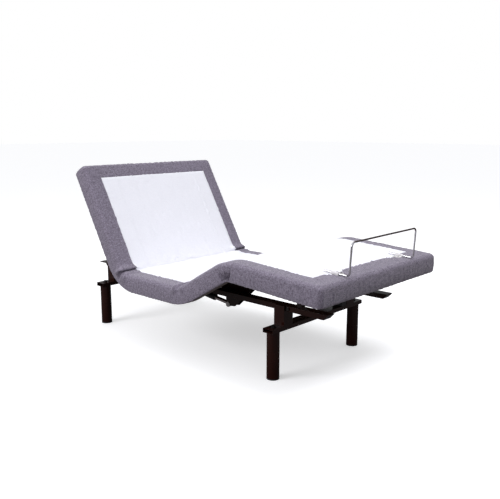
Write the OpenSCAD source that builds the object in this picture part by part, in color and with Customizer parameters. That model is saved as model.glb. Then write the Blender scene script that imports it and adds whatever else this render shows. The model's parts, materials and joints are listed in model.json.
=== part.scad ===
// Adjustable bed base: a steel frame on four legs, a fixed seat deck, and back,
// thigh and leg decks that two linear actuators lift. Drawn fully lifted.
// +X across the bed, +Y to the head end, +Z up; origin under the middle, on the floor.

/* [Deck] */
// Width of the upholstered deck
deck_w = 952; // [860:2:1500]
// Length of the fixed seat deck, between its two hinges
seat_len = 475; // [400:5:560]
// Length of the back deck, from its hinge
back_len = 665; // [540:5:800]
// Length of the thigh deck, between its two hinges
thigh_len = 351; // [300:1:420]
// Length of the leg deck, from the knee hinge
leg_len = 540; // [460:5:640]
// Depth of the upholstered skirt, from the deck top down
skirt_drop = 95; // [80:1:115]
// Thickness of the skirt's padding
skirt_t = 50; // [30:1:60]
// Thickness of the foam on the boards
foam_t = 14; // [8:1:25]
// Thickness of the plywood boards
board_t = 12; // [9:1:18]
// Gap that each deck keeps from its hinge line
deck_gap = 1.5; // [1:0.5:4]

/* [Lifted position] */
// Angle of the back deck above level
back_angle = 60; // [45:1:65]
// Angle of the thigh deck above level
thigh_angle = 30; // [20:1:35]
// Fall of the leg deck towards the foot
leg_slope = 3.5; // [0:0.5:8]

/* [Base frame] */
// Distance between the foot legs and the head legs
leg_span_y = 1300; // [1200:10:1400]
// Distance between the left and right legs
leg_span_x = 644; // [600:2:760]
// Distance between the inner faces of the two side rails
rail_gap = 436; // [420:2:480]
// Width of a side rail
rail_w = 50; // [40:1:60]
// Height of a side rail
rail_h = 25; // [20:1:40]
// Wall of the rails and cross members
tube_wall = 2; // [1.5:0.5:3]
// Length of the rails beyond the foot legs
rail_foot_run = 262; // [200:2:300]
// Length of the rails beyond the head legs
rail_head_run = 65; // [60:5:100]
// Length of the headboard plates beyond the rails
flange_run = 60; // [40:5:70]
// Length of the cross members over the legs
cross_len = 720; // [690:5:840]
// Width of a cross member
cross_w = 60; // [60:1:80]
// Height of a cross member
cross_h = 20; // [15:1:30]
// Size of a post along the bed
post_w = 60; // [50:1:60]
// Size of a post across the bed
post_d = 64; // [56:1:70]
// Height from the cross members to the top of the rails
post_h = 95; // [90:1:130]
// Height of the flat bearers between the rails and the seat board
bearer_h = 15; // [12:1:20]
// Width of a bearer, and of a cross tube
bearer_w = 40; // [30:1:50]
// Distance from the foot legs to the thigh hinge
thigh_y = 467; // [440:1:490]
// Height of the hinge lines above the rails
hinge_rise = 6; // [6:1:9]

/* [Legs] */
// Diameter of a leg
leg_d = 60; // [50:1:60]
// Height from the floor to the cross members
leg_h = 225; // [150:5:300]
// Thickness of the glide under a leg
glide_h = 6; // [4:1:10]
// Diameter of the leg bolts
bolt_d = 10; // [8:1:12]

/* [Deck frames] */
// Side of the square tubes under the moving decks
bar = 25; // [20:1:25]
// Gap between the bars and the inner faces of the rails
bar_gap = 13; // [13:1:16]
// Thickness of ears, levers and arms
plate_t = 6; // [4:0.5:6]
// Diameter of the hinge and clevis pins
pin_d = 10; // [8:1:12]
// Radial clearance of a turning fit
run_clear = 0.05; // [0.02:0.01:0.09]

/* [Lift drives] */
// Distance from the thigh hinge to the foot drive's pivot
foot_drive_reach = 273; // [265:1:290]
// Distance from the back hinge to the head drive's pivot
head_drive_reach = 382; // [370:1:400]
// Depth of both drive pivots below the hinge line
drive_drop = 46; // [46:1:52]
// Thigh lever: reach towards the foot, with the decks flat
thigh_lever_out = 16.4; // [10:0.1:22]
// Thigh lever: depth below the hinge line, with the decks flat
thigh_lever_down = 113.4; // [105:0.1:125]
// Back lever: reach towards the foot, with the decks flat
back_lever_out = 45; // [35:1:50]
// Back lever: depth below the hinge line, with the decks flat
back_lever_down = 78; // [72:1:84]
// Diameter of the drive rods
rod_d = 20; // [16:1:22]
// Outer diameter of the drive tubes
drive_tube_d = 34; // [30:1:36]
// Wall of the drive tubes
drive_tube_wall = 3; // [2:0.5:4]
// Length of the foot drive's tube and gearbox, from its pivot
foot_tube_end = 235; // [225:1:245]
// Length of the head drive's tube and gearbox, from its pivot
head_tube_end = 285; // [270:1:295]
// Diameter of the motors
motor_d = 44; // [38:1:48]
// Length of the motors
motor_len = 100; // [80:1:110]

/* [Leg deck support] */
// Distance from the foot legs to the arms' pivots, towards the foot
arm_y = 67; // [60:1:80]
// Depth of the arms' pivots below the hinge line
arm_drop = 11; // [8:1:14]
// Depth of the arms' upper pins below the hinge line of the leg deck
arm_pin_drop = 34; // [32:1:38]
// Width of a support arm
arm_w = 30; // [24:1:32]

/* [Mattress retainer] */
// Distance between the uprights of the retainer bar
retainer_w = 532; // [400:2:640]
// Height of the retainer bar above the deck
retainer_h = 154; // [100:1:180]
// Diameter of the retainer rod
retainer_d = 8; // [6:1:12]
// Length of the retainer's feet along the deck
retainer_foot = 130; // [90:5:140]
// Distance from the uprights to the foot edge
retainer_inset = 13; // [12:1:30]

/* [Control box] */
// Size of the control box along the bed
box_l = 58; // [50:1:60]
// Size of the control box across the bed
box_w = 38; // [32:1:42]
// Height of the control box
box_h = 74; // [60:1:76]
// Wall of the control box
box_wall = 2.5; // [2:0.5:3]

/* [Hidden] */
$fn = 64;

// Heights
rail_top = leg_h + cross_h + post_h;
hinge_z = rail_top + hinge_rise;
board_lo = bearer_h - hinge_rise;              // board's underside above the hinge line
board_hi = board_lo + board_t;
deck_hi = board_hi + foam_t;                   // deck top above the hinge line
skirt_lo = deck_hi - skirt_drop;
bar_lo = board_lo - bar;

// Widths, as distances from the centre line
board_x = deck_w / 2 - skirt_t;
rail_x = rail_gap / 2;
bar_x = rail_x - bar_gap - bar;                // inner face of a bar
bar_mid = bar_x + bar / 2;
post_x = rail_x;
moving_x = bar_x + bar;                        // inner face of a moving ear
fixed_x = rail_x - plate_t;                    // inner face of a fixed ear
inner_x = bar_x - plate_t;                     // inner face of an inner plate
plate_air = 1;                                 // side gap between a plate and what passes it

// Places along the bed, from the foot legs, with the hinge lines level
back_y = thigh_y + seat_len;
knee_flat_y = thigh_y - thigh_len;
knee_y = thigh_y - thigh_len * cos(thigh_angle);
knee_z = hinge_z + thigh_len * sin(thigh_angle);
foot_edge_y = knee_y - leg_len * cos(leg_slope) - deck_hi * sin(leg_slope);
head_edge_y = leg_span_y + rail_head_run + flange_run;
mid_y = (foot_edge_y + head_edge_y) / 2;

// Fold angles that the deck ends are cut back for
back_fold = back_angle / 2;
thigh_fold = thigh_angle / 2;
knee_fold = (thigh_angle + leg_slope) / 2;

// Support arm: from its pivot to a pin in the leg deck that is as far off when flat as when lifted
arm_z = hinge_z - arm_drop;
flat_off = [knee_flat_y + arm_y, hinge_z - arm_pin_drop - arm_z];
lift_off = [knee_y + arm_y + arm_pin_drop * sin(leg_slope),
            knee_z - arm_pin_drop * cos(leg_slope) - arm_z];
arm_pin_y = (lift_off * lift_off - flat_off * flat_off)
          / (2 * (lift_off * [cos(leg_slope), sin(leg_slope)] - flat_off * [1, 0]));
flat_arm = flat_off - [arm_pin_y, 0];
lift_arm = lift_off - arm_pin_y * [cos(leg_slope), sin(leg_slope)];
arm_len = norm(flat_arm);
arm_turn = atan2(lift_arm.y, lift_arm.x);
arm_turn_flat = atan2(flat_arm.y, flat_arm.x) + 360;

// Drives: pivot, and the rod's pin with the decks flat and lifted, as [y, z]
function turned(p, a) = [p.x * cos(a) - p.y * sin(a), p.x * sin(a) + p.y * cos(a)];
foot_pivot = [thigh_y + foot_drive_reach, hinge_z - drive_drop];
head_pivot = [back_y - head_drive_reach, hinge_z - drive_drop];
thigh_lever = [-thigh_lever_out, -thigh_lever_down];
back_lever = [-back_lever_out, -back_lever_down];
foot_ray = [thigh_y, hinge_z] + turned(thigh_lever, -thigh_angle) - foot_pivot;
head_ray = [back_y, hinge_z] + turned(back_lever, back_angle) - head_pivot;
foot_ray_flat = [thigh_y, hinge_z] + thigh_lever - foot_pivot;
head_ray_flat = [back_y, hinge_z] + back_lever - head_pivot;

// Small sizes
pin_r = pin_d / 2;
ear_r = pin_r + 3.5;
head_r = pin_r + 3;
head_t = 3;
weld = 0.01;                                   // lets joined shapes share a volume
bar_end = 18;                                  // from a hinge line to the end of a bar
plate_tail = 88;                               // from a hinge line to the end of a plate on a bar
cross_bar_y = plate_tail + bar;                // from a hinge line to the first cross bar
gear_start = 28;                               // drive's pivot to its gearbox
gear_len = 60;
gear_h = 54;
motor_off = 48;                                // motor's axis inboard of the rod's
rod_grip = 70;                                 // rod left in the tube when fully out
mitre = 1;                                     // rail ends rise one for one
float_clear = 1.2;                             // air around a pin that floats in its window

// Shapes

// Extrudes a [y, z] outline across the bed, from x for a thickness t
module slab(x, t) {
    translate([x, 0, 0]) rotate([90, 0, 90]) linear_extrude(t) children();
}

// The child on the right side, and its mirror image on the left
module both_sides() {
    children();
    mirror([1, 0, 0]) children();
}

// Moves a shape from the foot legs' datum to the object's origin
module placed() {
    translate([0, -mid_y, 0]) children();
}

// Frames of the moving decks: +Y away from the hinge, +Z up through the deck
module on_back() {
    placed() translate([0, back_y, hinge_z]) rotate([back_angle, 0, 0]) children();
}
module on_thigh() {
    placed() translate([0, thigh_y, hinge_z]) rotate([-thigh_angle, 0, 0])
        mirror([0, 1, 0]) children();
}
module on_leg() {
    placed() translate([0, knee_y, knee_z]) rotate([leg_slope, 0, 0])
        mirror([0, 1, 0]) children();
}

// Frame of a drive: +Y from its pivot along the rod, +X outboard
module on_foot_drive() {
    placed() translate([0, foot_pivot.x, foot_pivot.y])
        rotate([atan2(foot_ray.y, foot_ray.x), 0, 0])
            translate([-bar_mid, 0, 0]) mirror([1, 0, 0]) children();
}
module on_head_drive() {
    placed() translate([0, head_pivot.x, head_pivot.y])
        rotate([atan2(head_ray.y, head_ray.x), 0, 0]) translate([bar_mid, 0, 0]) children();
}

// Pin along X, with a head at its inner end
module cross_pin(x0, x1) {
    translate([x0, 0, 0]) rotate([0, 90, 0]) cylinder(r = pin_r, h = x1 - x0);
    translate([x0 - head_t, 0, 0]) rotate([0, 90, 0]) cylinder(r = head_r, h = head_t + weld);
}

// Hollow rectangular tube along X, centred on X and Y, standing on z = 0
module tube_across(length, width, height, wall) {
    difference() {
        translate([-length / 2, -width / 2, 0]) cube([length, width, height]);
        translate([-length / 2 - 1, -width / 2 + wall, wall])
            cube([length + 2, width - 2 * wall, height - 2 * wall]);
    }
}

// Square deck bar along Y from y0 to y1, on the right side
module deck_bar(y0, y1) {
    difference() {
        translate([bar_x, y0, bar_lo]) cube([bar, y1 - y0, bar]);
        translate([bar_x + tube_wall, y0 - 1, bar_lo + tube_wall])
            cube([bar - 2 * tube_wall, y1 - y0 + 2, bar - 2 * tube_wall]);
    }
}

// Cross bar between the deck bars, at y, that stops short by left on the left side
module deck_cross_bar(y, left = 0) {
    difference() {
        translate([-bar_x + left, y - bar / 2, bar_lo]) cube([2 * bar_x - left, bar, bar]);
        translate([-bar_x - 1, y - bar / 2 + tube_wall, bar_lo + tube_wall])
            cube([2 * bar_x + 2, bar - 2 * tube_wall, bar - 2 * tube_wall]);
    }
}

// Side outline of a deck between heights lo and hi. Each end is cut back above and below the
// hinge line by the fold angles [above, below]; an end with no hinge has no angles.
function end_at(z, fold) = fold == undef ? 0
    : deck_gap + (z > 0 ? z * tan(fold[0]) : -z * tan(fold[1]));
function outline(length, lo, hi, near, far) = concat(
    [[end_at(lo, near), lo]],
    lo < 0 && near != undef ? [[end_at(0, near), 0]] : [],
    [[end_at(hi, near), hi], [length - end_at(hi, far), hi]],
    lo < 0 && far != undef ? [[length - end_at(0, far), 0]] : [],
    [[length - end_at(lo, far), lo]]);

module deck_skirts(length, near, far) {
    both_sides() slab(board_x, skirt_t) polygon(outline(length, skirt_lo, deck_hi, near, far));
}
module deck_pad(length, near, far) {
    slab(-board_x, 2 * board_x) polygon(outline(length, board_hi, deck_hi, near, far));
}
module deck_board(length, near, far) {
    y0 = max(end_at(board_hi, near), end_at(board_lo, near));
    y1 = length - max(end_at(board_hi, far), end_at(board_lo, far));
    translate([-board_x, y0, board_lo]) cube([2 * board_x, y1 - y0, board_t]);
}
module deck_roll(length) {
    translate([-board_x, length - skirt_t, skirt_lo]) cube([2 * board_x, skirt_t, skirt_drop]);
}

back_near = [back_fold, 0];
thigh_near = [thigh_fold, 0];
knee_cut = [0, knee_fold];

// Base frame

// Side outline of a rail, mitred at both ends
module rail_outline() {
    lo = rail_top - rail_h;
    hi = rail_top;
    foot = -rail_foot_run;
    head = leg_span_y + rail_head_run;
    function foot_at(z) = foot + mitre * (rail_top - z);
    function head_at(z) = head - mitre * (rail_top - z);
    polygon([[foot_at(lo), lo], [foot_at(hi), hi], [head_at(hi), hi], [head_at(lo), lo]]);
}
module rail() {
    difference() {
        slab(rail_x, rail_w) rail_outline();
        slab(rail_x + tube_wall, rail_w - 2 * tube_wall) rail_bore();
        translate([rail_x - 1, rail_bolt_y, rail_bolt_z]) rotate([0, 90, 0])
            cylinder(d = rail_bolt_d + 0.4, h = rail_w + 2);
        for (y = plate_bolts_y) translate([rail_x + rail_w / 2, y, rail_top - rail_h - 1])
            cylinder(d = rail_bolt_d + 0.4, h = rail_h + 2);
    }
}
module rail_bore() {
    run = leg_span_y + rail_head_run + rail_foot_run;
    translate([-rail_foot_run - 1, rail_top - rail_h + tube_wall])
        square([run + 2, rail_h - 2 * tube_wall]);
}
module rail_left() {
    color("#17120f") placed() mirror([1, 0, 0]) rail();
}
module rail_right() {
    color("#17120f") placed() rail();
}
module rail_end_caps() {
    cap_t = 3;
    lo = rail_top - rail_h;
    foot = -rail_foot_run;
    head = leg_span_y + rail_head_run;
    color("#0d0c0c") placed() both_sides() {
        slab(rail_x, rail_w) polygon([[foot + mitre * rail_h, lo], [foot, rail_top],
            [foot - cap_t, rail_top], [foot + mitre * rail_h - cap_t, lo]]);
        slab(rail_x, rail_w) polygon([[head - mitre * rail_h, lo], [head, rail_top],
            [head + cap_t, rail_top], [head - mitre * rail_h + cap_t, lo]]);
    }
}

module cross_member(y) {
    color("#17120f") placed() difference() {
        translate([0, y, leg_h]) tube_across(cross_len, cross_w, cross_h, tube_wall);
        for (s = [-1, 1])
            translate([s * leg_span_x / 2, y, leg_h - 1])
                cylinder(d = bolt_d + 0.5, h = cross_h + 2);
    }
}
module cross_member_foot() {
    cross_member(0);
}
module cross_member_head() {
    cross_member(leg_span_y);
}

// Post between a cross member and a rail, notched round the rail
module post(s, y) {
    wall = 2.5;
    lo = leg_h + cross_h;
    color("#17120f") placed() translate([0, y, 0]) mirror([s < 0 ? 1 : 0, 0, 0]) difference() {
        translate([post_x, -post_w / 2, lo]) cube([post_d, post_w, post_h]);
        translate([post_x + wall, -post_w / 2 + wall, lo - 1])
            cube([post_d - 2 * wall, post_w - 2 * wall, post_h - wall + 1]);
        translate([post_x - 1, -post_w / 2 - 1, rail_top - rail_h])
            cube([rail_w + 1, post_w + 2, rail_h + 1]);
    }
}
module post_foot_left() {
    post(-1, 0);
}
module post_foot_right() {
    post(1, 0);
}
module post_head_left() {
    post(-1, leg_span_y);
}
module post_head_right() {
    post(1, leg_span_y);
}
// Legs

module at_leg(sx, sy) {
    placed() translate([sx * leg_span_x / 2, sy * leg_span_y, 0]) children();
}
module leg_tube() {
    wall = 2;
    plate = 8;
    difference() {
        translate([0, 0, glide_h]) cylinder(d = leg_d, h = leg_h - glide_h);
        translate([0, 0, glide_h - 1]) cylinder(d = leg_d - 2 * wall, h = leg_h - glide_h - plate + 1);
        translate([0, 0, leg_h - plate - 1]) cylinder(d = bolt_d, h = plate + 2);
    }
}
module leg_foot_left() {
    color("#14100e") at_leg(-1, 0) leg_tube();
}
module leg_foot_right() {
    color("#14100e") at_leg(1, 0) leg_tube();
}
module leg_head_left() {
    color("#14100e") at_leg(-1, 1) leg_tube();
}
module leg_head_right() {
    color("#14100e") at_leg(1, 1) leg_tube();
}
module leg_glides() {
    plug = 14;
    color("#0c0c0c") for (sx = [-1, 1], sy = [0, 1]) at_leg(sx, sy) {
        cylinder(d = leg_d, h = glide_h);
        cylinder(d = leg_d - 4, h = glide_h + plug);
    }
}

// Bolts: through the cross members into the legs, through the rails into the arm brackets,
// and through the headboard plates
rail_bolt_y = -40;
rail_bolt_z = rail_top - rail_h / 2;
rail_bolt_d = 8;
module leg_bolt() {
    top = leg_h + cross_h;
    washer_t = 2;
    translate([0, 0, leg_h - 24]) cylinder(d = bolt_d, h = cross_h + 24 + washer_t);
    translate([0, 0, top]) cylinder(d = 28, h = washer_t);
    translate([0, 0, top + washer_t]) cylinder(d = 20, h = 7, $fn = 6);
}
module rail_bolt() {
    translate([fixed_x - 6, 0, 0]) rotate([0, 90, 0]) {
        cylinder(d = 15, h = 6, $fn = 6);
        cylinder(d = rail_bolt_d, h = rail_w + plate_t + 6);
        translate([0, 0, rail_w + plate_t + 6]) cylinder(d = 18, h = 5);
    }
}
module frame_bolts() {
    color("silver") {
        for (sx = [-1, 1], sy = [0, 1]) at_leg(sx, sy) leg_bolt();
        placed() both_sides() {
            translate([0, rail_bolt_y, rail_bolt_z]) rail_bolt();
            for (y = plate_bolts_y) translate([rail_x + rail_w / 2, y, rail_top - rail_h]) {
                cylinder(d = rail_bolt_d, h = rail_h + headboard_plate_t + 6);
                translate([0, 0, rail_h + headboard_plate_t]) cylinder(d = 15, h = 5, $fn = 6);
            }
        }
    }
}

// Seat deck, fixed to the rails

seat_near = [thigh_fold, 0];
seat_far = [back_fold, 0];
module at_seat() {
    placed() translate([0, thigh_y, hinge_z]) children();
}
module seat_bearers() {
    inset = 60;
    color("#17120f") placed() for (y = [thigh_y + inset, back_y - inset])
        translate([0, y, rail_top])
            tube_across(rail_gap + 2 * rail_w + 60, bearer_w, bearer_h, tube_wall);
}
module seat_board() {
    color("#3b2a20") at_seat() deck_board(seat_len, seat_near, seat_far);
}
module seat_pad() {
    color("#f4f4f8") at_seat() deck_pad(seat_len, seat_near, seat_far);
}
module seat_skirts() {
    color("#7d7680") at_seat() deck_skirts(seat_len, seat_near, seat_far);
}

// Ears on the rails that carry the thigh and back hinges
module fixed_ear(y, z) {
    slab(fixed_x, plate_t) translate([y, z]) difference() {
        union() {
            circle(r = ear_r);
            translate([-ear_r, -(rail_h + z - rail_top) + 2])
                square([2 * ear_r, rail_h + z - rail_top - 2]);
        }
        circle(r = pin_r);
    }
}
// Ears for the support arms, bolted to the rails
module arm_ear() {
    r = arm_w / 2 + 3;
    lo = rail_top - rail_h + 2;
    slab(fixed_x, plate_t) difference() {
        union() {
            translate([-arm_y, arm_z]) circle(r = r);
            translate([-arm_y - r, lo]) square([2 * r, arm_z - lo]);
            translate([-arm_y, lo]) square([arm_y + rail_bolt_y + 8, rail_h - 4]);
        }
        translate([-arm_y, arm_z]) circle(r = pin_r);
        translate([rail_bolt_y, rail_bolt_z]) circle(d = rail_bolt_d + 0.4);
    }
}
module rail_brackets() {
    color("#17120f") placed() both_sides() {
        for (y = [thigh_y, back_y]) fixed_ear(y, hinge_z);
        arm_ear();
    }
}

// Cross tubes that carry the drives, with two ears under each
module drive_cross_tubes() {
    color("#17120f") placed() for (p = [foot_pivot, head_pivot])
        translate([0, p.x, rail_top - rail_h]) tube_across(rail_gap, bearer_w, rail_h, tube_wall);
}
lug_w = bar - 3;                               // width of a drive's lug and of a rod's eye
lug_r = pin_r + 7;
drive_ear_gap = 4;
drive_ear_in = bar_mid - lug_w / 2 - drive_ear_gap - plate_t;
drive_ear_out = bar_mid + lug_w / 2 + drive_ear_gap;
module drive_ear(z) {
    height = rail_top - rail_h - z;
    difference() {
        union() {
            circle(r = lug_r);
            translate([-lug_r, 0]) square([2 * lug_r, height]);
        }
        circle(r = pin_r);
    }
}
module drive_brackets() {
    color("#17120f") placed() {
        mirror([1, 0, 0]) for (x = [drive_ear_in, drive_ear_out])
            slab(x, plate_t) translate(foot_pivot) drive_ear(foot_pivot.y);
        for (x = [drive_ear_in, drive_ear_out])
            slab(x, plate_t) translate(head_pivot) drive_ear(head_pivot.y);
    }
}
// Pins of the deck hinges, the support arms and the drives
module pivot_pins() {
    x0 = drive_ear_in - plate_air;
    x1 = drive_ear_out + plate_t + 2;
    color("silver") placed() {
        both_sides() {
            for (y = [thigh_y, back_y])
                translate([0, y, hinge_z]) cross_pin(moving_x - plate_air, rail_x + 3);
            translate([moving_x + 0.4, -arm_y, arm_z]) rotate([0, 90, 0])
                cylinder(r = pin_r, h = rail_x - moving_x - 0.4);
        }
        mirror([1, 0, 0]) translate([0, foot_pivot.x, foot_pivot.y]) cross_pin(x0, x1);
        translate([0, head_pivot.x, head_pivot.y]) cross_pin(x0, x1);
    }
}

// Flat headboard plates on top of the rails' head ends
headboard_plate_t = 4;
headboard_plate_len = 130;
headboard_hole_d = 9;
headboard_holes_y = [for (dy = [12, 28]) head_edge_y - dy];
plate_bolts_y = [for (dy = [12, 32]) head_edge_y - headboard_plate_len + dy];
module headboard_plates() {
    color("#17120f") placed() both_sides() difference() {
        translate([rail_x, head_edge_y - headboard_plate_len, rail_top])
            cube([rail_w, headboard_plate_len, headboard_plate_t]);
        for (y = headboard_holes_y) translate([rail_x + rail_w / 2, y, rail_top - 1])
            cylinder(d = headboard_hole_d, h = headboard_plate_t + 2);
        for (y = plate_bolts_y) translate([rail_x + rail_w / 2, y, rail_top - 1])
            cylinder(d = rail_bolt_d + 0.4, h = headboard_plate_t + 2);
    }
}

// Control box beside the foot post on the right
box_x = post_x - 1.5 - box_w;
box_z = leg_h + cross_h;
module control_box_base() {
    color("#101012") placed() difference() {
        translate([box_x + box_wall, -box_l / 2, box_z]) cube([box_w - box_wall, box_l, box_h]);
        translate([box_x, -box_l / 2 + box_wall, box_z + box_wall])
            cube([box_w - box_wall, box_l - 2 * box_wall, box_h - 2 * box_wall]);
        translate([box_x + box_w / 2, box_l / 2, box_z + 24]) rotate([90, 0, 0])
            cylinder(d = 12, h = 2 * box_wall + 2, center = true);
    }
}
module control_box_lid() {
    color("#101012") placed() translate([box_x, -box_l / 2, box_z]) cube([box_wall, box_l, box_h]);
}
module control_circuit_board() {
    color("#1d5a33") placed() translate([box_x + box_w - box_wall - 8, -box_l / 2 + box_wall + 1,
        box_z + box_wall + 1]) {
        cube([1.6, box_l - 2 * box_wall - 2, box_h - 2 * box_wall - 2]);
        translate([1.6, 8, 8]) cube([6.4, 8, 8]);
        translate([1.6, 8, box_h - 26]) cube([6.4, 8, 8]);
    }
}
module power_inlet() {
    color("#26262a") placed() translate([box_x + box_w / 2, box_l / 2, box_z + 24])
        rotate([-90, 0, 0]) difference() {
            union() {
                cylinder(d = 18, h = 6);
                translate([0, 0, -box_wall]) cylinder(d = 12, h = box_wall + 1);
            }
            translate([0, 0, -box_wall + 1]) cylinder(d = 6, h = 12);
            translate([0, 0, -box_wall - 1]) cylinder(d = 2, h = 12);
        }
}

// Back deck

back_bar_end = back_len - skirt_t - 20;
module back_board() {
    color("#3b2a20") on_back() deck_board(back_len - skirt_t, back_near, undef);
}
module back_pad() {
    color("#f4f4f8") on_back() deck_pad(back_len - skirt_t, back_near, undef);
}
module back_skirts() {
    color("#7d7680") on_back() deck_skirts(back_len, back_near, undef);
}
module back_head_roll() {
    color("#7d7680") on_back() deck_roll(back_len);
}
module back_bars() {
    color("#17120f") on_back() both_sides() deck_bar(bar_end, back_bar_end);
}
module back_cross_bars() {
    color("#17120f") on_back()
        for (y = [cross_bar_y, back_len / 2, back_bar_end - bar]) deck_cross_bar(y);
}
module ear_outline() {
    circle(r = ear_r);
    translate([0, bar_lo]) square([plate_tail, bar]);
}
module lever_root() {
    translate([12, bar_lo]) square([plate_tail - 12, bar]);
}
// The rod's pin floats within play of a lever's window
back_play = [3.1, 5];
thigh_play = [0.4, 1.3];
module back_lever_outline() {
    eye = back_lever + back_play;
    difference() {
        union() {
            polygon([[12, bar_lo + bar - 2], [plate_tail - 4, bar_lo + bar - 2],
                [plate_tail - 4, bar_lo], [eye.x + 12, eye.y - 13], [eye.x - 12, eye.y + 13],
                [4, -12]]);
            translate(eye) circle(r = 20);
        }
        translate(eye) circle(r = pin_r + norm(back_play) + float_clear);
    }
}
// Moving ears, and on the right the two levers that the head drive pushes
module back_plates() {
    color("#17120f") on_back() {
        both_sides() slab(moving_x, plate_t) difference() {
            ear_outline();
            circle(r = pin_r + run_clear);
        }
        slab(moving_x, plate_t) back_lever_outline();
        slab(inner_x, plate_t) {
            lever_root();
            back_lever_outline();
        }
    }
}

// Thigh deck

module thigh_board() {
    color("#3b2a20") on_thigh() deck_board(thigh_len, thigh_near, knee_cut);
}
module thigh_pad() {
    color("#f4f4f8") on_thigh() deck_pad(thigh_len, thigh_near, knee_cut);
}
module thigh_skirts() {
    color("#7d7680") on_thigh() deck_skirts(thigh_len, thigh_near, knee_cut);
}
module thigh_bars() {
    color("#17120f") on_thigh() both_sides() deck_bar(bar_end, thigh_len - bar_end);
}
module thigh_cross_bars() {
    color("#17120f") on_thigh() {
        deck_cross_bar(cross_bar_y, plate_t);
        deck_cross_bar(thigh_len - bar_end - 40);
    }
}
module thigh_lever_outline() {
    foot_end = thigh_len - 136;
    eye = [thigh_lever_out, -thigh_lever_down] + thigh_play;
    difference() {
        union() {
            polygon([[12, bar_lo + bar - 2], [foot_end, bar_lo + bar - 2], [foot_end, bar_lo - 44],
                [foot_end - 21, bar_lo - 92], [55, eye.y - 26], [eye.x + 2, eye.y - 11],
                [eye.x - 10, eye.y + 4], [eye.x + 4, eye.y + 40]]);
            translate(eye) circle(r = 14);
        }
        translate(eye) circle(r = pin_r + norm(thigh_play) + float_clear);
    }
}
// Ears at both hinges, and on the left the two levers that the foot drive pushes
module thigh_plates() {
    color("#17120f") on_thigh() {
        both_sides() {
            slab(moving_x, plate_t) difference() {
                ear_outline();
                circle(r = pin_r + run_clear);
            }
            slab(moving_x, plate_t) translate([thigh_len, 0]) mirror([1, 0]) difference() {
                ear_outline();
                circle(r = pin_r);
            }
        }
        mirror([1, 0, 0]) for (x = [moving_x, inner_x]) slab(x, plate_t) thigh_lever_outline();
    }
}
module knee_pins() {
    color("silver") on_thigh() both_sides() translate([0, thigh_len, 0])
        cross_pin(inner_x - plate_air, moving_x + plate_t);
}

// Leg deck

leg_bar_end = leg_len - skirt_t - 20;
module leg_board() {
    color("#3b2a20") on_leg() difference() {
        deck_board(leg_len - skirt_t, knee_cut, undef);
        retainer_screw_holes();
    }
}
module leg_pad() {
    color("#f4f4f8") on_leg() difference() {
        deck_pad(leg_len - skirt_t, knee_cut, undef);
        retainer_screw_holes();
    }
}
module leg_skirts() {
    color("#7d7680") on_leg() deck_skirts(leg_len, knee_cut, undef);
}
module leg_foot_roll() {
    color("#7d7680") on_leg() deck_roll(leg_len);
}
module leg_bars() {
    color("#17120f") on_leg() both_sides() deck_bar(bar_end, leg_bar_end);
}
module leg_cross_bars() {
    color("#17120f") on_leg() for (y = [cross_bar_y, leg_bar_end - bar]) deck_cross_bar(y);
}
// Ears on the knee pins, and the lugs that the support arms' pins float in
arm_drift = 5.2;
module leg_plates() {
    lug_x = bar_mid;
    lug_len = 34;
    lug_r = pin_r + 9;
    slot_r = pin_r + 1.4 + float_clear;
    color("#17120f") on_leg() both_sides() {
        slab(inner_x, plate_t) difference() {
            ear_outline();
            circle(r = pin_r + run_clear);
        }
        slab(lug_x, plate_t) difference() {
            union() {
                translate([arm_pin_y - lug_len / 2, -arm_pin_drop])
                    square([lug_len, arm_pin_drop + bar_lo]);
                translate([arm_pin_y - lug_len / 2 + lug_r, -arm_pin_drop]) circle(r = lug_r);
                translate([arm_pin_y + lug_len / 2 - lug_r, -arm_pin_drop]) circle(r = lug_r);
                translate([arm_pin_y - lug_len / 2 + lug_r, -arm_pin_drop - lug_r])
                    square([lug_len - 2 * lug_r, lug_r]);
            }
            translate([arm_pin_y, -arm_pin_drop + 1.4]) {
                circle(r = slot_r);
                translate([0, -slot_r]) square([arm_drift, 2 * slot_r]);
                translate([arm_drift, 0]) circle(r = slot_r);
            }
        }
    }
}

// Mattress retainer

retainer_y = leg_len - retainer_inset;
clip_base_t = 2;
rod_z = deck_hi + clip_base_t + retainer_d / 2;
clip_back = 72;                                // saddle's distance from the upright
clip_y = retainer_y - clip_back;
clip_len = 40;
clip_lip = 8;                                  // plate beyond the rod, outboard
clip_edge = 10;                                // plate beyond the screws, inboard
clip_in = 30;                                  // screw's distance inboard of the rod
screw_d = 4;
module rod(length) {
    cylinder(d = retainer_d, h = length);
}
module bend(r) {
    rotate_extrude(angle = 90) translate([r, 0]) circle(d = retainer_d);
}
module retainer_bar() {
    r_top = 20;
    r_low = 14;
    half = retainer_w / 2;
    top = deck_hi + retainer_h - retainer_d / 2;
    color("#dcdcdf") on_leg() both_sides() {
        translate([half, retainer_y - retainer_foot, rod_z]) rotate([-90, 0, 0])
            rod(retainer_foot - r_low);
        translate([half, retainer_y - r_low, rod_z + r_low]) rotate([-90, 0, 90]) bend(r_low);
        translate([half, retainer_y, rod_z + r_low]) rod(top - r_top - rod_z - r_low);
        translate([half - r_top, retainer_y, top - r_top]) rotate([90, 0, 0]) bend(r_top);
        translate([0, retainer_y, top]) rotate([0, 90, 0]) rod(half - r_top);
    }
}
module retainer_screw_holes() {
    both_sides() for (dy = [-10, 10]) translate([retainer_w / 2 - clip_in, clip_y + dy, 0])
        cylinder(d = screw_d + 0.2, h = deck_hi + 1);
}
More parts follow.
